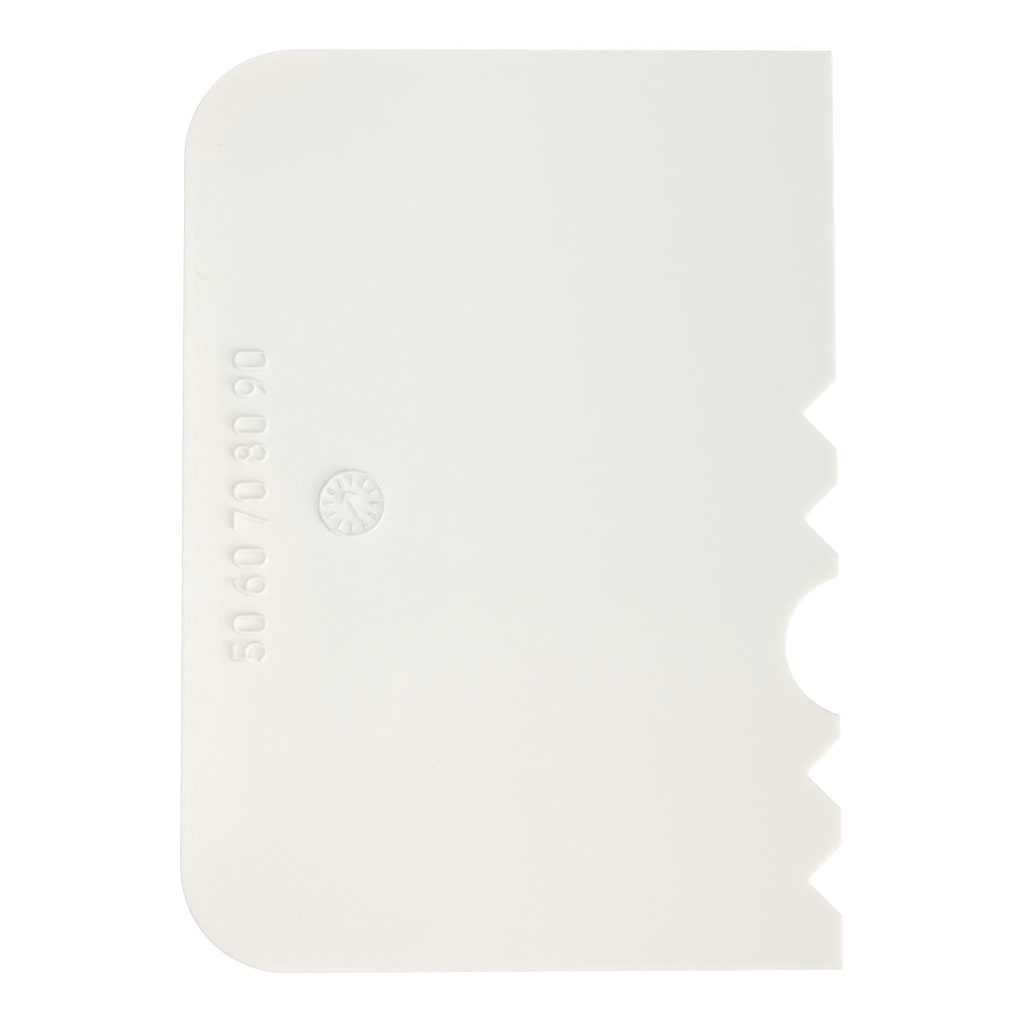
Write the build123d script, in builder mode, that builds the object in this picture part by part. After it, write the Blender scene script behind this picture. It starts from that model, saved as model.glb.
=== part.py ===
"""Icing smoother: a flat side scraper moulded in one piece, with a patterned working edge.

Millimetres. The plate lies flat with its raised side up (+Z). Its long side runs
along Y, with the plain end at +Y, and the working edge faces +X. The origin is
under the middle of the plate, on the underside.
"""

import os
from math import radians, sqrt, tan

from build123d import *

os.makedirs("parts", exist_ok=True)

# Driving sizes of the plate
plate_length = 140.0
plate_width = 99.4
plate_thickness = 2.0
plain_end_grip_radius = 16.8
patterned_end_grip_radius = 16.0
working_corner_radius = 0.5
face_edge_radius = 0.15

# Driving sizes of the patterned working edge, which starts from the lower end
end_land = 7.95
notch_depth = 5.3
notch_angle = 90.0
notch_land = 5.4
notch_root_radius = 0.8
notches_each_side = 2
scallop_land = 3.55
scallop_radius = 10.7
scallop_centre_outside_edge = 2.55

# One overrun for every cut, past the working edge
cut_overrun = 3.0

# Places along the working edge, worked out from the lower end upwards
working_edge_x = plate_width / 2
lower_end_y = -plate_length / 2
notch_slope = tan(radians(notch_angle / 2))
notch_half_mouth = notch_depth * notch_slope
notch_pitch = 2 * notch_half_mouth + notch_land
scallop_half_mouth = sqrt(scallop_radius**2 - scallop_centre_outside_edge**2)
first_notch_offset = scallop_half_mouth + scallop_land + notch_half_mouth
last_notch_offset = first_notch_offset + (notches_each_side - 1) * notch_pitch
scallop_y = lower_end_y + end_land + notch_half_mouth + last_notch_offset
notch_offsets = [first_notch_offset + i * notch_pitch for i in range(notches_each_side)]
notch_places = [scallop_y + side * offset for side in (-1, 1) for offset in notch_offsets]

# How far a corner of the outline may lie from where it is looked for
pick_tolerance = face_edge_radius / 10


def near(value, wanted):
    """True where a coordinate of the outline is the wanted one."""
    return abs(value - wanted) < pick_tolerance


# The plate's outline: a rectangle less the notches and the scallop
with BuildSketch() as outline:
    Rectangle(plate_width, plate_length)

    # V notches, two below the scallop and two above it
    for notch_y in notch_places:
        with BuildSketch(mode=Mode.PRIVATE) as notch:
            with BuildLine():
                mouth_x = working_edge_x + cut_overrun
                half_mouth = (notch_depth + cut_overrun) * notch_slope
                Polyline(
                    (working_edge_x - notch_depth, notch_y),
                    (mouth_x, notch_y - half_mouth),
                    (mouth_x, notch_y + half_mouth),
                    close=True,
                )
            make_face()
        add(notch.sketch, mode=Mode.SUBTRACT)

    # Round scallop, whose centre lies just outside the working edge
    with Locations((working_edge_x + scallop_centre_outside_edge, scallop_y)):
        Circle(scallop_radius, mode=Mode.SUBTRACT)

    # Small radii at the working edge, on the ends, the lands and the notch roots
    fillet([v for v in outline.vertices() if near(v.X, working_edge_x)], working_corner_radius)
    roots = [v for v in outline.vertices() if near(v.X, working_edge_x - notch_depth)]
    fillet([v for v in roots if any(near(v.Y, notch_y) for notch_y in notch_places)], notch_root_radius)

    # The two wide corners of the grip side, the plain end's a little wider
    for end, radius in ((0, patterned_end_grip_radius), (-1, plain_end_grip_radius)):
        grip_side = outline.edges().sort_by(Axis.X)[0]
        fillet(grip_side.vertices().sort_by(Axis.Y)[end], radius)

# The moulding: the outline at one thickness, with every edge of both faces rounded over
with BuildPart() as scraper_plate:
    add(outline.sketch)
    extrude(amount=plate_thickness)
    top_face = scraper_plate.faces().sort_by(Axis.Z)[-1]
    bottom_face = scraper_plate.faces().sort_by(Axis.Z)[0]
    fillet(top_face.edges() + bottom_face.edges(), face_edge_radius)

scraper_plate.part.label = "scraper_plate"
export_step(scraper_plate.part, "parts/scraper_plate.step")

print(f"notch places along the edge: {[round(y, 2) for y in notch_places]}")
print(f"scallop at y {scallop_y:.2f}, {scallop_radius - scallop_centre_outside_edge:.2f} deep")
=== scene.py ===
"""The looks of an icing smoother: a flat side scraper moulded in one piece of off-white plastic.

Metres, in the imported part's own frame: the plate lies on its underside at z = 0, its working edge faces
+X and its plain end +Y. The plate's shape comes from the frame, and this script adds what is moulded
on its face (a height scale and a mould dial), the plastic, the floor, the lamps and the camera.
"""

from math import cos, pi, radians, sin

import bmesh
import bpy
from bpy.props import FloatProperty, FloatVectorProperty, IntProperty, PointerProperty
from mathutils import Matrix, Vector


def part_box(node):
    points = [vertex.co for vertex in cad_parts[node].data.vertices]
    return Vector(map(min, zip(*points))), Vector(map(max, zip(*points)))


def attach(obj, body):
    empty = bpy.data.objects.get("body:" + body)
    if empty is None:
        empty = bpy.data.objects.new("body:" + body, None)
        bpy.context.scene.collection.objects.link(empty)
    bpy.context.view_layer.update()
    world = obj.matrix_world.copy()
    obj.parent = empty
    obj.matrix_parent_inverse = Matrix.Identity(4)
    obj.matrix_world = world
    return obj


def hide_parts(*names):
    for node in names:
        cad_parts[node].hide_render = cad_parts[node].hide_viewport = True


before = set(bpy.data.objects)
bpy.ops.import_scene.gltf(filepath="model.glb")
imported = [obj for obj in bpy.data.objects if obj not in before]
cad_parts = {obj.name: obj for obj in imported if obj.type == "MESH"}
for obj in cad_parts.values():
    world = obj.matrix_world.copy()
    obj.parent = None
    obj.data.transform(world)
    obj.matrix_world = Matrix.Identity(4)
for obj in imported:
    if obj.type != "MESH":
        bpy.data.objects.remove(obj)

bl_info = {
    "name": "Icing smoother",
    "version": (1, 0, 0),
    "blender": (4, 5, 0),
    "location": "3D View > Sidebar > Scraper",
    "description": "Dresses a moulded icing smoother and its studio",
    "category": "Object",
}

PLATE_NODE = "scraper_plate"

MM = 0.001

# The side of a raised mark, from its foot to its top, as shares of its width and of its height
SIDE_PROFILE = ((1.0, 0.0), (0.36, 0.8), (0.16, 0.95), (0.0, 1.0))

# The widest that a side may be, as a share of its line's width, and the points that round a line's end
WIDEST_SIDE = 0.48
END_TURNS = [radians(turn) for turn in (25, 50, 75)]

# Mould dial: which way its arrow points, and its ticks' width as a share of its other lines' width
ARROW_TURN = radians(120)
TICK_WIDTH = 0.75

# The plate's mesh: points nearer than this are joined, edges that turn more than this stay sharp, and
# the shading leans this strongly on large faces
WELD_DISTANCE = 0.001 * MM
SHARP_ANGLE = radians(40)
LARGE_FACE_WEIGHT = 100

# The wide corners of the grip side, at the plain end and at the patterned end
PLAIN_GRIP_RADIUS = 16.8 * MM
PATTERNED_GRIP_RADIUS = 16.0 * MM

# Zones of painted light and shade and of tone, each from where its change starts to where it is complete:
# in from the outline
EDGE_ZONE = (0.1 * MM, 0.5 * MM)
LOW_SHADE_ZONE = (0.3 * MM, 3 * MM)
EDGE_GLOW_ZONE = (0.8 * MM, 2 * MM)
INNER_ZONE = (0.0, 4 * MM)
CORNER_ZONE = (2 * MM, 11 * MM)
GLOW_PATCH_ZONE = (6 * MM, 24 * MM)

# In from the grip edge, in from either end, and down from the face
GRIP_ZONE = (12 * MM, 28 * MM)
SMOOTH_ZONE = (10 * MM, 45 * MM)
END_ZONE = (0.0, 26 * MM)
MIDDLE_ZONE = (4 * MM, 40 * MM)
FACE_ZONE = (0.05 * MM, 0.1 * MM)

# Up from the patterned end, and away from the height of the painted glow patch along the grip edge
LOW_END_ZONE = (8 * MM, 22 * MM)
EDGE_LIGHT_ZONE = (0.0, 20 * MM)
GLOW_PATCH_REACH = (12 * MM, 45 * MM)
GLOW_PATCH_HEIGHT = 48 * MM

# Where the plastic turns aged, as shares of the plate's length from its plain end, and how much a surface
# has to face both the working edge and the plain end to take painted shade
AGED_ZONE = (0.5, 0.86)
SHADED_SLOPE_ZONE = (0.02, 0.25)

# Sizes of the blotches in the plastic's age and sheen, and of a scratch's bends, along X, Y and Z
AGE_CELL = (45 * MM, 70 * MM, 45 * MM)
SHEEN_CELL = (6 * MM, 20 * MM, 6 * MM)
WANDER_CELL = (0.5 * MM, 0.5 * MM, 1.0)

# How far the sheen takes the roughness up and down
SHEEN_SPREAD = 0.04

# What age, painted light, painted shade and small faults mix into the plastic's colour
PAINTED_GLOW = (1, 0.99, 0.92, 1)
PAINTED_EDGE_LIGHT = (1, 0.99, 0.95, 1)
PAINTED_CORNER_SHADE = (0.66, 0.65, 0.61, 1)
PAINTED_SHADE = (0.66, 0.64, 0.60, 1)
SPECK = (0.50, 0.48, 0.42, 1)
CUT = (0.62, 0.60, 0.54, 1)

# Specks in the plastic: place, radius and strength
SPECKS = (
    ((-44.35 * MM, 55.26 * MM), 0.20 * MM, 0.50),
    ((-30.63 * MM, 52.96 * MM), 0.18 * MM, 0.20),
    ((-31.87 * MM, -61.29 * MM), 0.24 * MM, 0.15),
    ((-11.90 * MM, -39.47 * MM), 0.60 * MM, 0.07),
)

# Two hairline scratches by the grip edge, from point to point in millimetres
LONG_SCRATCH = ((-48.9, 36.1), (-47.9, 36.2), (-47.3, 34.9), (-46.7, 34.5), (-46.2, 34.6), (-45.5, 34.2))
SHORT_SCRATCH = ((-47.8, 33.5), (-47.1, 32.3), (-46.2, 31.2))
SCRATCH_HALF_WIDTH = 0.12 * MM
SCRATCH_WANDER = 0.9 * MM

# Floor: its size, its drop below the plate, how white the camera sees it, how much of its real light and
# shade shows near the plate, and the distances over which that fades out
FLOOR_SIZE = 2.0
FLOOR_DROP = 0.02 * MM
FLOOR_WHITE = 1.1
FLOOR_SHADOW = 0.25
FLOOR_FADE = (0.1, 0.6)

# Camera: its sensor's width in millimetres, and the nearest that it sees in metres
SENSOR_WIDTH = 36.0
NEAREST_SEEN = 1 * MM

plate_low, plate_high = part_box(PLATE_NODE)
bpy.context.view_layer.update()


class SCRAPER_PG_marks(bpy.types.PropertyGroup):
    """Sizes of what is raised on the plate's face"""

    relief: FloatProperty(
        name="Relief", description="How far the marks stand above the face",
        default=0.50 * MM, min=0.05 * MM, unit="LENGTH", precision=5)
    side: FloatProperty(
        name="Side", description="Width of the sloping sides of the marks",
        default=0.46 * MM, min=0.05 * MM, unit="LENGTH", precision=5)
    root: FloatProperty(
        name="Root", description="How far the marks reach into the plate, so that they fuse with it",
        default=0.5 * MM, min=0.05 * MM, unit="LENGTH", precision=5)
    cap_height: FloatProperty(
        name="Number height", description="Height of the raised numbers",
        default=5.8 * MM, min=1 * MM, unit="LENGTH", precision=5)
    digit_width: FloatProperty(
        name="Digit width", description="Width of one digit",
        default=3.45 * MM, min=1 * MM, unit="LENGTH", precision=5)
    digit_gap: FloatProperty(
        name="Digit gap", description="From one digit to the next",
        default=0.75 * MM, min=0, unit="LENGTH", precision=5)
    stroke: FloatProperty(
        name="Stroke", description="Width of the numbers' raised lines",
        default=1.02 * MM, min=0.2 * MM, unit="LENGTH", precision=5)
    scale_inset: FloatProperty(
        name="Scale inset", description="From the grip edge to the middle of the height scale",
        default=10.3 * MM, unit="LENGTH", precision=5)
    scale_first: IntProperty(
        name="First number", default=50,
        description="Lowest number, in millimetres above the patterned end")
    scale_last: IntProperty(
        name="Last number", default=90,
        description="Highest number, in millimetres above the patterned end")
    scale_step: IntProperty(
        name="Number step", description="Millimetres from one number to the next", default=10, min=2)
    dial_inset: FloatProperty(
        name="Dial inset", description="From the grip edge to the middle of the mould dial",
        default=25.7 * MM, unit="LENGTH", precision=5)
    dial_height: FloatProperty(
        name="Dial height", description="From the patterned end to the middle of the mould dial",
        default=70.2 * MM, unit="LENGTH", precision=5)
    dial_diameter: FloatProperty(
        name="Dial diameter", description="Outside of the mould dial's ring",
        default=10.7 * MM, min=3 * MM, unit="LENGTH", precision=5)
    dial_stroke: FloatProperty(
        name="Dial stroke", description="Width of the dial's raised lines",
        default=0.95 * MM, min=0.2 * MM, unit="LENGTH", precision=5)
    dial_ticks: IntProperty(name="Dial ticks", description="Ticks round the dial", default=12, min=3)


class SCRAPER_PG_plastic(bpy.types.PropertyGroup):
    """Colour and finish of the plate's plastic, and the light painted into it along the grip edge"""

    colour: FloatVectorProperty(
        name="Colour", description="Off-white plastic", subtype="COLOR", size=3, min=0, max=1,
        default=(0.846, 0.852, 0.806))
    aged_colour: FloatVectorProperty(
        name="Aged colour", description="The plastic where it has yellowed, towards the patterned end",
        subtype="COLOR", size=3, min=0, max=1, default=(0.877, 0.850, 0.798))
    # How much light is painted into the colour along the grip edge as a paler rim, and how far in it
    # reaches
    rim_paleness: FloatProperty(
        name="Rim paleness", default=0.3, min=0, max=1,
        description="How much paler the hand has polished the plastic along the grip edge")
    rim_width: FloatProperty(
        name="Rim width", description="How far the paler plastic reaches in from the grip edge",
        default=12 * MM, min=0.1 * MM, unit="LENGTH", precision=5)
    roughness: FloatProperty(
        name="Roughness", description="Satin finish of the face", default=0.38, min=0, max=1)
    glow_depth: FloatProperty(
        name="Glow depth", description="How far light travels in the plastic",
        default=1.8 * MM, min=0, unit="LENGTH", precision=5)
    grain_width: FloatProperty(
        name="Grain width", description="Width of one mark of the mould's satin grain",
        default=0.35 * MM, min=0.05 * MM, unit="LENGTH", precision=5)
    grain_length: FloatProperty(
        name="Grain length", description="Length of one mark of the grain, along the plate",
        default=1.2 * MM, min=0.05 * MM, unit="LENGTH", precision=5)
    grain_depth: FloatProperty(
        name="Grain depth", description="Depth of the grain at the grip",
        default=0.05 * MM, min=0, unit="LENGTH", precision=5)


class SCRAPER_PG_studio(bpy.types.PropertyGroup):
    """Camera and lamps"""

    camera_place: FloatVectorProperty(
        name="Camera place", description="Camera, from the middle of the plate's face",
        subtype="TRANSLATION", default=(-7.13 * MM, -22.41 * MM, 344.04 * MM))
    camera_lean: FloatVectorProperty(
        name="Camera lean", description="The camera's small turns away from straight down",
        subtype="EULER", default=(radians(3.555), radians(-1.206), radians(-0.113)))
    camera_lens: FloatProperty(
        name="Lens", description="Focal length in millimetres", default=80.0, min=10)
    box_place: FloatVectorProperty(
        name="Softbox place", description="The overhead softbox", subtype="TRANSLATION",
        default=(-0.0388, 0.0, 0.32))
    box_size: FloatVectorProperty(
        name="Softbox size", description="Width and length of the softbox", size=2, unit="LENGTH",
        default=(0.2, 0.8))
    box_power: FloatProperty(name="Softbox power", description="Watts", default=1.1, min=0, unit="POWER")
    low_place: FloatVectorProperty(
        name="Low lamp place", description="The low lamp, which lights the working edge",
        subtype="TRANSLATION", default=(1.325, -0.765, 0.468))
    low_size: FloatVectorProperty(
        name="Low lamp size", description="Width and length of the low lamp", size=2, unit="LENGTH",
        default=(0.6, 0.6))
    low_power: FloatProperty(name="Low lamp power", description="Watts", default=14.2, min=0, unit="POWER")
    air_level: FloatProperty(
        name="Air level", description="Even light from all round", default=0.2, min=0)


class SCRAPER_PG_settings(bpy.types.PropertyGroup):
    """Everything that a user would change"""

    marks: PointerProperty(type=SCRAPER_PG_marks)
    plastic: PointerProperty(type=SCRAPER_PG_plastic)
    studio: PointerProperty(type=SCRAPER_PG_studio)


class Wire:
    """A shader socket that takes part in plain maths."""

    def __init__(self, shader, socket):
        self.shader = shader
        self.socket = socket

    def _math(self, operation, first, second=0.0):
        return self.shader.node("ShaderNodeMath", {"operation": operation}, {0: first, 1: second})

    def __add__(self, other):
        return self._math("ADD", self, other)

    def __sub__(self, other):
        return self._math("SUBTRACT", self, other)

    def __rsub__(self, other):
        return self._math("SUBTRACT", other, self)

    def __mul__(self, other):
        return self._math("MULTIPLY", self, other)

    def __truediv__(self, other):
        return self._math("DIVIDE", self, other)

    def __pow__(self, other):
        return self._math("POWER", self, other)

    def __abs__(self):
        return self._math("ABSOLUTE", self)

    def __gt__(self, other):
        return self._math("GREATER_THAN", self, other)

    __radd__ = __add__
    __rmul__ = __mul__

    def at_least(self, other):
        return self._math("MAXIMUM", self, other)

    def at_most(self, other):
        return self._math("MINIMUM", self, other)

    def between(self, low, high):
        """A mask's 0 and 1 moved to two other levels."""
        return self * (high - low) + low


class Shader:
    """A material or world node tree, filled from empty."""

    def __init__(self, owner):
        owner.use_nodes = True
        self.tree = owner.node_tree
        self.tree.nodes.clear()

    def node(self, kind, settings=None, inputs=None, output=0):
        """Adds a node with its settings, feeds its inputs and returns one output as a Wire."""
        made = self.tree.nodes.new(kind)
        for name, value in (settings or {}).items():
            setattr(made, name, value)
        for key, value in (inputs or {}).items():
            if isinstance(value, Wire):
                self.tree.links.new(value.socket, made.inputs[key])
            else:
                made.inputs[key].default_value = value
        return Wire(self, made.outputs[output]) if len(made.outputs) else made

    def rise(self, value, low, high):
        """0 below low, 1 above high and a smooth rise between them."""
        return self.node("ShaderNodeMapRange", {"interpolation_type": "SMOOTHSTEP"}, {
            "Value": value, "From Min": low, "From Max": high})

    def fall(self, value, low, high):
        """1 below low, 0 above high and a smooth fall between them."""
        return 1 - self.rise(value, low, high)

    def mixed(self, share, first, second):
        """The first colour, with that share of the second."""
        return self.node("ShaderNodeMix", {"data_type": "RGBA"}, {0: share, 6: first, 7: second}, output=2)

    def noise(self, place, cell):
        """Noise about 0.5, in soft blotches of a cell's size along X, Y and Z."""
        x, y, z = (part / size for part, size in zip(place, cell))
        vector = self.node("ShaderNodeCombineXYZ", inputs={"X": x, "Y": y, "Z": z})
        return self.node("ShaderNodeTexNoise", inputs={"Vector": vector, "Scale": 1.0, "Detail": 2.0})

    def coordinates(self, kind="Object"):
        """The three coordinates on the object, in metres, or the three parts of its normal."""
        point = self.node("ShaderNodeTexCoord", output=kind)
        return [self.node("ShaderNodeSeparateXYZ", inputs={0: point}, output=axis) for axis in "XYZ"]

    def unseen_by_lamps(self):
        """1 for rays from the camera and for what gloss and glass show, 0 for rays that carry light."""
        kinds = ("Is Camera Ray", "Is Glossy Ray", "Is Transmission Ray")
        return sum(self.node("ShaderNodeLightPath", output=kind) for kind in kinds)


def inset(x, y):
    """How far a point of the face lies inside the plate's grip edge and ends, round the wide corners."""
    radius = (y > 0.0) * (PLAIN_GRIP_RADIUS - PATTERNED_GRIP_RADIUS) + PATTERNED_GRIP_RADIUS
    past_x = radius + plate_low.x - x
    past_y = radius - plate_high.y + abs(y)
    round_corner = (past_x.at_least(0.0) ** 2 + past_y.at_least(0.0) ** 2) ** 0.5
    return radius - round_corner - past_x.at_least(past_y).at_most(0.0)


def speck(shader, x, y, place, radius, strength):
    """A mask of one round speck."""
    distance = ((x - place[0]) ** 2 + (y - place[1]) ** 2) ** 0.5
    return shader.fall(distance, radius / 2, radius) * strength


def scratch(shader, x, y, points):
    """A mask along a fine scratch through points given in millimetres."""
    nearest = None
    for first, second in zip(points, points[1:]):
        start, end = Vector(first) * MM, Vector(second) * MM
        length, ahead = (end - start).length, (end - start).normalized()
        along = (x - start.x) * ahead.x + (y - start.y) * ahead.y
        across = (y - start.y) * ahead.x - (x - start.x) * ahead.y
        past = along - along.at_least(0.0).at_most(length)
        distance = (past * past + across * across) ** 0.5
        nearest = nearest.at_most(distance) if nearest else distance
    return shader.fall(nearest, 0.0, SCRATCH_HALF_WIDTH)


def scratches(shader, x, y):
    """A mask of both scratches, which wander and break up a little."""
    wander = shader.noise((x, y, 0.0), WANDER_CELL) - 0.5
    bent_x, bent_y = x + wander * SCRATCH_WANDER, y - wander * SCRATCH_WANDER
    long_one = scratch(shader, bent_x, bent_y, LONG_SCRATCH)
    short_one = scratch(shader, bent_x, bent_y, SHORT_SCRATCH)
    return (long_one + short_one * 0.6) * shader.rise(wander, -0.2, 0.15)


def worn_tone(shader, finish, x, y, z):
    """The plastic's colour, drifting with age, with light painted along the grip edge and shade painted at
    the ends, corners and notch slopes.
    """
    depth = inset(x, y)
    from_end = plate_high.y - abs(y)
    above_end = y - plate_low.y

    # Places: the grip, both ends, the rim between them that takes painted light, the grip's corners and a
    # patch of painted light along the grip edge
    grip = shader.fall(x - plate_low.x, *GRIP_ZONE)
    near_end = shader.fall(from_end, *END_ZONE)
    middle = shader.rise(from_end, *MIDDLE_ZONE).between(0.3, 1)
    painted_rim_glow = shader.fall(depth, 0.0, finish.rim_width) * middle * grip
    grip_corners = shader.fall(depth, *CORNER_ZONE) * near_end * grip
    painted_glow_patch = shader.fall(depth, *GLOW_PATCH_ZONE) * shader.fall(abs(above_end - GLOW_PATCH_HEIGHT), *GLOW_PATCH_REACH)

    # Tone: a slow drift from fresh to aged along the plate, which comes sooner at the grip's corners and
    # under the painted light along the grip edge
    drift = shader.noise((x, y, z), AGE_CELL).between(-0.15, 0.15)
    lean = 1 - above_end / (plate_high.y - plate_low.y)
    aged = shader.rise(lean + drift + painted_rim_glow * 0.45 + grip_corners * 1.4 + painted_glow_patch * 0.6, *AGED_ZONE)
    tone = shader.mixed(aged, (*finish.colour, 1), (*finish.aged_colour, 1))

    # Painted light: a paler rim along the grip edge, most at the very edge, and painted shade that greys
    # the grip side near both ends
    painted_edge_glow = shader.fall(depth, *EDGE_GLOW_ZONE) * middle * grip
    tone = shader.mixed((painted_rim_glow + painted_edge_glow * 0.8 + painted_glow_patch * 0.35) * finish.rim_paleness, tone, PAINTED_GLOW)
    painted_corner_shade = near_end * shader.fall(x, plate_low.x + GRIP_ZONE[0], 0.0)
    inner = shader.rise(depth, *INNER_ZONE).between(0.4, 1)
    tone = shader.mixed(painted_corner_shade * inner * 0.12, tone, PAINTED_CORNER_SHADE)

    # Edges: a painted pale line round the grip and the plain end, and painted shade along the edge at the
    # patterned end and in from it
    edge = shader.fall(depth, *EDGE_ZONE)
    painted_edge_light = (grip * shader.rise(above_end, *EDGE_LIGHT_ZONE)).at_least((y > 0.0) * 0.6)
    tone = shader.mixed(edge * painted_edge_light, tone, PAINTED_EDGE_LIGHT)
    painted_low_shade = edge * grip.between(0.3, 0.4) + shader.fall(depth, *LOW_SHADE_ZONE) * 0.11
    tone = shader.mixed(painted_low_shade * shader.fall(above_end, *LOW_END_ZONE), tone, PAINTED_SHADE)

    # Notches and scallop: painted shade, a dull line on the slopes that face both the working edge and the
    # plain end
    facing_x, facing_y, _ = shader.coordinates("Normal")
    painted_slope_shade = shader.rise(facing_x * facing_y, *SHADED_SLOPE_ZONE) * (x > 0.0)
    return shader.mixed(painted_slope_shade * 0.3, tone, PAINTED_SHADE)


def plate_plastic(finish):
    """Satin off-white plastic, translucent, with the mould's grain, painted light and shade, specks and two
    scratches.
    """
    material = bpy.data.materials.new("plate_plastic")
    shader = Shader(material)
    x, y, z = shader.coordinates()
    tone = worn_tone(shader, finish, x, y, z)

    # Small faults: specks in the plastic and scratches in the face
    top_only = shader.fall(plate_high.z - z, *FACE_ZONE)
    spots = sum(speck(shader, x, y, *spot) for spot in SPECKS)
    tone = shader.mixed(spots * top_only, tone, SPECK)
    cuts = scratches(shader, x, y)
    tone = shader.mixed(cuts * top_only * 0.5, tone, CUT)

    # Grain: fine marks along the plate, deepest at the grip and worn smoother towards the working edge
    marks = shader.noise((x, y, z), (finish.grain_width, finish.grain_length, finish.grain_width))
    unworn = shader.fall(x - plate_low.x, *SMOOTH_ZONE).between(0.3, 1)
    grain = shader.node("ShaderNodeBump", inputs={
        "Strength": 1.0, "Distance": finish.grain_depth, "Height": marks * unworn - cuts * 0.6})
    sheen = shader.noise((x, y, z), SHEEN_CELL)

    surface = shader.node("ShaderNodeBsdfPrincipled", inputs={
        "Base Color": tone,
        "Roughness": sheen.between(finish.roughness - SHEEN_SPREAD, finish.roughness + SHEEN_SPREAD),
        "Normal": grain,
        "IOR": 1.49,
        "Subsurface Weight": 0.7,
        "Subsurface Radius": (1, 1, 0.9),
        "Subsurface Scale": finish.glow_depth,
    })
    shader.node("ShaderNodeOutputMaterial", inputs={"Surface": surface})
    return material


def linked(name, data):
    """A new object of that name and data in the scene."""
    made = bpy.data.objects.new(name, data)
    bpy.context.scene.collection.objects.link(made)
    return made


def mesh_of(source):
    """The final mesh of an object, with its modifiers and place applied."""
    bpy.context.view_layer.update()
    evaluated = source.evaluated_get(bpy.context.evaluated_depsgraph_get())
    mesh = bpy.data.meshes.new_from_object(evaluated)
    mesh.transform(source.matrix_world)
    return mesh


def welded(mesh):
    """Joins the points of a mesh that lie on each other, and faces it outwards."""
    work = bmesh.new()
    work.from_mesh(mesh)
    bmesh.ops.remove_doubles(work, verts=work.verts, dist=WELD_DISTANCE)
    bmesh.ops.dissolve_degenerate(work, edges=work.edges, dist=WELD_DISTANCE)
    bmesh.ops.recalc_face_normals(work, faces=work.faces)
    work.to_mesh(mesh)
    work.free()
    return mesh


def profile(width, sizes):
    """The side of a raised line from its root to its top: steps inwards and heights above the face."""
    side = min(sizes.side, WIDEST_SIDE * width)
    return [(0.0, -sizes.root)] + [(side * (1 - out), sizes.relief * up) for out, up in SIDE_PROFILE]


def offset(points, distance, closed=True):
    """A line moved to its left by a distance, with mitred corners."""
    moved = []
    last = len(points) - 1
    for i, point in enumerate(points):
        before = points[i - 1] if closed or i > 0 else None
        after = points[(i + 1) % len(points)] if closed or i < last else None
        steps = [(point - before).normalized()] if before else []
        steps += [(after - point).normalized()] if after else []
        normals = [Vector((-step.y, step.x)) for step in steps]
        normal = sum(normals, Vector((0, 0))).normalized()
        moved.append(point + normal * distance / normal.dot(normals[0]))
    return moved


def ridge(right, left, closed, steps):
    """A closed solid between two rails, with sides that follow the steps of a profile."""
    work = bmesh.new()
    count = len(right)
    loops = [right, left[::-1]] if closed else [right + left[::-1]]
    levels = []
    for inwards, z in steps:
        levels.append([[work.verts.new((*point, z)) for point in offset(loop, inwards)] for loop in loops])
    for lower_loops, upper_loops in zip(levels, levels[1:]):
        for lower, upper in zip(lower_loops, upper_loops):
            for i in range(len(lower)):
                work.faces.new((lower[i - 1], lower[i], upper[i], upper[i - 1]))
    for level, way in ((levels[0], -1), (levels[-1], 1)):
        points = sum(level, [])
        one, other = points[:count], points[count:][::-1]
        for i in range(0 if closed else 1, count):
            work.faces.new((one[i - 1], one[i], other[i], other[i - 1])[::way])
    mesh = bpy.data.meshes.new("ridge")
    work.to_mesh(mesh)
    work.free()
    return mesh


def round_end(end, inner, half):
    """The rails' last points round the end of a line that comes from an inner point: right, left."""
    ahead = (end - inner).normalized()
    across = Vector((ahead.y, -ahead.x))
    return [[end + half * (sin(turn) * ahead + side * cos(turn) * across) for turn in END_TURNS]
            for side in (1, -1)]


def drawn(strokes, width, sizes):
    """The solids of a drawing: each stroke is a list of points, closed where it ends where it starts."""
    solids = []
    half = width / 2
    for points in strokes:
        closed = (points[0] - points[-1]).length < width / 10
        middle = points[:-1] if closed else points
        right, left = (offset(middle, side * half, closed) for side in (-1, 1))
        if not closed:
            end_right, end_left = round_end(points[-1], points[-2], half)
            start_left, start_right = round_end(points[0], points[1], half)
            right = start_right[::-1] + right + end_right
            left = start_left[::-1] + left + end_left
        solids.append(ridge(right, left, closed, profile(width, sizes)))
    return solids


def arc(centre, radii, start, end, steps=28):
    """Points along an arc of an ellipse, from one angle in degrees to another."""
    angles = [radians(start + (end - start) * i / steps) for i in range(steps + 1)]
    return [Vector((centre[0] + radii[0] * cos(a), centre[1] + radii[1] * sin(a))) for a in angles]


def line(*corners):
    """Points along straight runs."""
    return [Vector(corner) for corner in corners]


def digit_strokes(digit, w, h):
    """The middle lines of a digit that reaches w to each side and h up and down from its middle."""
    shapes = {
        "0": [arc((0, h - w), (w, w), 0, 180) + arc((0, w - h), (w, w), 180, 360)
              + line((w, h - w))],
        "5": [line((0.9 * w, h), (-0.8 * w, h), (-0.8 * w, 0)),
              arc((-0.05 * w, -0.36 * h), (1.05 * w, 0.64 * h), 140, -150)],
        "6": [arc((0, -0.4 * h), (w, 0.6 * h), -90, 270),
              arc((0.85 * w, -0.4 * h), (1.85 * w, 1.4 * h), 180, 100)],
        "7": [line((-w, h), (w, h), (-0.35 * w, -h))],
        "8": [arc((0, 0.53 * h), (0.86 * w, 0.47 * h), -90, 270),
              arc((0, -0.46 * h), (w, 0.54 * h), -90, 270)],
    }
    if digit == "9":
        return [[-point for point in stroke] for stroke in shapes["6"]]
    return shapes[digit]


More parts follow.
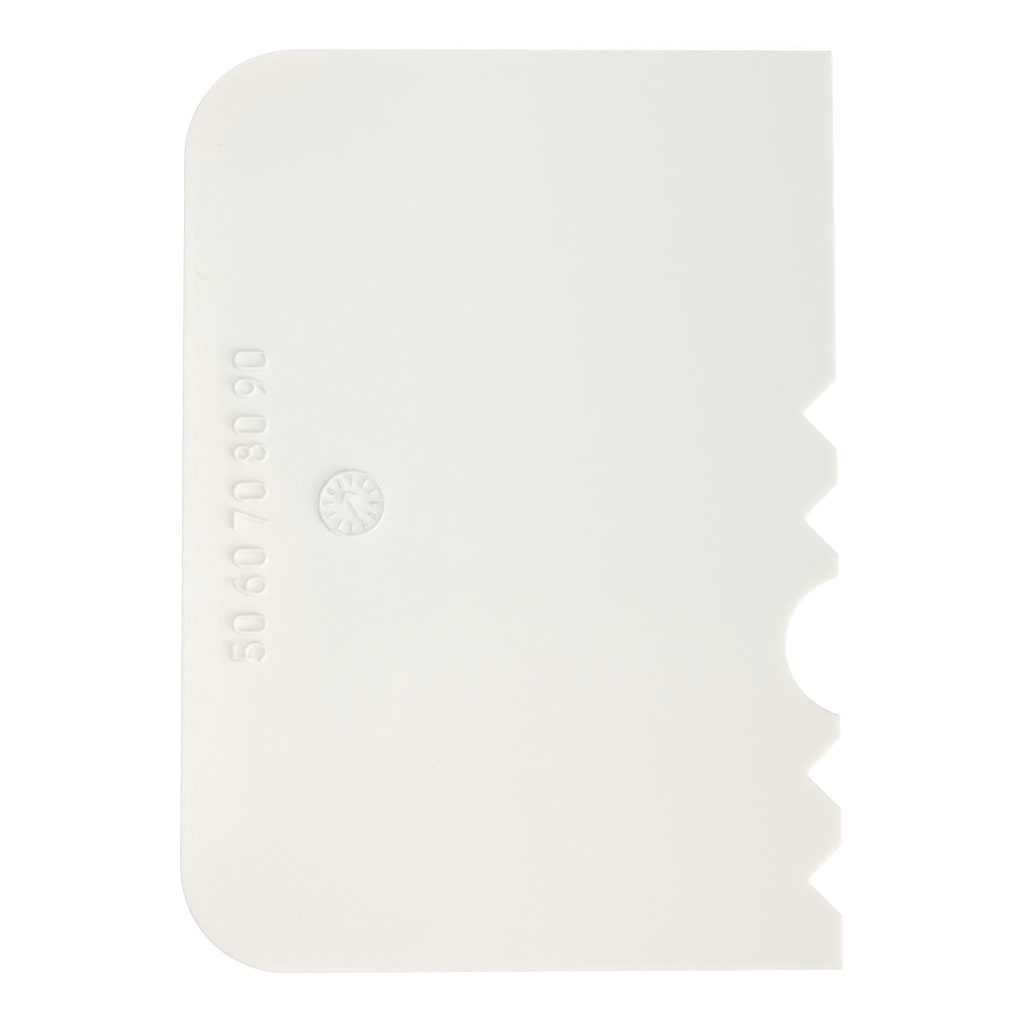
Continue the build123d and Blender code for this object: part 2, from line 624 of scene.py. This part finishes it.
def number(value, sizes):
    """The solids of one number of the height scale, centred on the origin."""
    w, h = (sizes.digit_width - sizes.stroke) / 2, (sizes.cap_height - sizes.stroke) / 2
    pitch = sizes.digit_width + sizes.digit_gap
    digits = str(value)
    strokes = []
    for place, digit in enumerate(digits):
        shift = Vector(((place - (len(digits) - 1) / 2) * pitch, 0))
        strokes += [[point + shift for point in stroke] for stroke in digit_strokes(digit, w, h)]
    return drawn(strokes, sizes.stroke, sizes)


def dial(sizes):
    """The solids of a mould dial about the origin: a ring, ticks inside it and an arrow."""
    stroke = sizes.dial_stroke
    ring = (sizes.dial_diameter - stroke) / 2
    tick_start, tick_end = ring - 1.9 * stroke, ring - 0.85 * stroke
    tip, barb = ring - 3.1 * stroke, 1.2 * stroke
    ticks = []
    for i in range(sizes.dial_ticks):
        angle = 2 * pi * i / sizes.dial_ticks
        towards = Vector((cos(angle), sin(angle)))
        ticks.append([towards * tick_start, towards * tick_end])
    turn = Matrix.Rotation(ARROW_TURN, 2)
    arrow = [[turn @ point for point in points] for points in (
        line((-tip, 0), (tip, 0)), line((tip - barb, barb), (tip, 0), (tip - barb, -barb)))]
    circle = arc((0, 0), (ring, ring), 0, 360, steps=96)
    return drawn([circle, *arrow], stroke, sizes) + drawn(ticks, TICK_WIDTH * stroke, sizes)


def raised_marks(sizes):
    """Everything raised on the face, as closed meshes that reach into the plate."""
    scale_x = plate_low.x + sizes.scale_inset
    made = []

    def place(solids, x, y, turn=0.0):
        for solid in solids:
            solid.transform(Matrix.Translation((x, y, plate_high.z)) @ Matrix.Rotation(turn, 4, "Z"))
            made.append(solid)

    for height in range(sizes.scale_first, sizes.scale_last + 1, sizes.scale_step):
        place(number(height, sizes), scale_x, plate_low.y + height * MM, radians(90))
    place(dial(sizes), plate_low.x + sizes.dial_inset, plate_low.y + sizes.dial_height)
    return made


def fuse(base, additions):
    """Fuses each added closed mesh with the base object's own."""
    for mesh in additions:
        tool = linked("tool", mesh)
        union = base.modifiers.new("union", "BOOLEAN")
        union.operation = "UNION"
        union.solver = "MANIFOLD"
        union.object = tool
        mesh_now = mesh_of(base)
        base.modifiers.clear()
        base.data = mesh_now
        bpy.data.objects.remove(tool)


def soften(plate):
    """Shades the rounded edges smooth while the flat faces stay flat."""
    for face in plate.data.polygons:
        face.use_smooth = True
    plate.data.set_sharp_from_angle(angle=SHARP_ANGLE)
    weights = plate.modifiers.new("face_weights", "WEIGHTED_NORMAL")
    weights.keep_sharp = True
    weights.weight = LARGE_FACE_WEIGHT


class SCRAPER_OT_plate(bpy.types.Operator):
    """Builds the plate from the frame's shape and fuses the raised marks with it"""

    bl_idname = "scraper.make_plate"
    bl_label = "Plate"

    def execute(self, context):
        settings = context.scene.scraper
        shape = welded(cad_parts[PLATE_NODE].data.copy())
        plate = linked("plate", shape)
        fuse(plate, raised_marks(settings.marks))
        plate.data.materials.clear()
        plate.data.materials.append(plate_plastic(settings.plastic))
        soften(plate)
        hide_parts(PLATE_NODE)
        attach(plate, "root")
        return {"FINISHED"}


def area_lamp(name, place, size, power, in_gloss=True):
    """A soft lamp aimed at the plate, its length along Y, which may be left out of what gloss shows."""
    light = bpy.data.lights.new(name, "AREA")
    light.shape = "RECTANGLE"
    light.size, light.size_y = size
    light.energy = power
    lamp = linked(name, light)
    back = Vector(place).normalized()
    side = Vector((0, 1, 0)).cross(back).normalized()
    turn = Matrix((side, back.cross(side), back)).transposed().to_4x4()
    lamp.matrix_world = Matrix.Translation(place) @ turn
    lamp.visible_camera = False
    lamp.visible_glossy = in_gloss


def white_floor():
    """A matt white floor that the camera sees as plain white, with the plate's faint shadow near it."""
    material = bpy.data.materials.new("white_floor")
    shader = Shader(material)
    matt = shader.node("ShaderNodeBsdfDiffuse", inputs={"Color": (0.9, 0.9, 0.9, 1)})
    white = shader.node("ShaderNodeEmission", inputs={"Color": (1, 1, 1, 1), "Strength": FLOOR_WHITE})
    x, y, _ = shader.coordinates()
    far = shader.rise((x * x + y * y) ** 0.5, *FLOOR_FADE)
    shown = shader.unseen_by_lamps() * far.between(1 - FLOOR_SHADOW, 1)
    mixed = shader.node("ShaderNodeMixShader", inputs={0: shown, 1: matt, 2: white})
    shader.node("ShaderNodeOutputMaterial", inputs={"Surface": mixed})
    return material


def studio_air(level):
    """Even white light from all round, which the camera sees as plain white."""
    world = bpy.data.worlds.new("studio_air")
    shader = Shader(world)
    strength = shader.unseen_by_lamps().between(level, 1)
    air = shader.node("ShaderNodeBackground", inputs={"Color": (1, 1, 1, 1), "Strength": strength})
    shader.node("ShaderNodeOutputWorld", inputs={"Surface": air})
    return world


class SCRAPER_OT_stage(bpy.types.Operator):
    """Builds the floor, the lamps and the camera"""

    bl_idname = "scraper.make_stage"
    bl_label = "Stage"

    def execute(self, context):
        studio = context.scene.scraper.studio

        mesh = bpy.data.meshes.new("floor")
        work = bmesh.new()
        bmesh.ops.create_grid(work, x_segments=1, y_segments=1, size=FLOOR_SIZE)
        work.to_mesh(mesh)
        work.free()
        floor = linked("floor", mesh)
        floor.location.z = -FLOOR_DROP
        mesh.materials.append(white_floor())

        context.scene.world = studio_air(studio.air_level)
        area_lamp("softbox", studio.box_place, studio.box_size, studio.box_power)
        area_lamp("low_lamp", studio.low_place, studio.low_size, studio.low_power, in_gloss=False)

        data = bpy.data.cameras.new("camera")
        data.sensor_width = SENSOR_WIDTH
        data.lens = studio.camera_lens
        data.clip_start = NEAREST_SEEN
        camera = linked("camera", data)
        camera.location = Vector(studio.camera_place) + Vector((0, 0, plate_high.z))
        camera.rotation_mode = "ZYX"
        camera.rotation_euler = studio.camera_lean
        context.scene.camera = camera
        context.scene.view_settings.view_transform = "Standard"
        return {"FINISHED"}


class SCRAPER_PT_panel(bpy.types.Panel):
    """Lists the pieces and the stage"""

    bl_idname = "SCRAPER_PT_panel"
    bl_label = "Icing smoother"
    bl_space_type = "VIEW_3D"
    bl_region_type = "UI"
    bl_category = "Scraper"

    def draw(self, context):
        for operator in OPERATORS:
            self.layout.operator(operator.bl_idname)


SETTINGS = (SCRAPER_PG_marks, SCRAPER_PG_plastic, SCRAPER_PG_studio, SCRAPER_PG_settings)
OPERATORS = (SCRAPER_OT_plate, SCRAPER_OT_stage)
CLASSES = (*SETTINGS, *OPERATORS, SCRAPER_PT_panel)


def register():
    for cls in CLASSES:
        bpy.utils.register_class(cls)
    bpy.types.Scene.scraper = PointerProperty(type=SCRAPER_PG_settings)


def unregister():
    del bpy.types.Scene.scraper
    for cls in reversed(CLASSES):
        bpy.utils.unregister_class(cls)


def main():
    """Builds everything."""
    register()
    bpy.ops.scraper.make_plate()
    bpy.ops.scraper.make_stage()


if __name__ == "__main__":
    main()
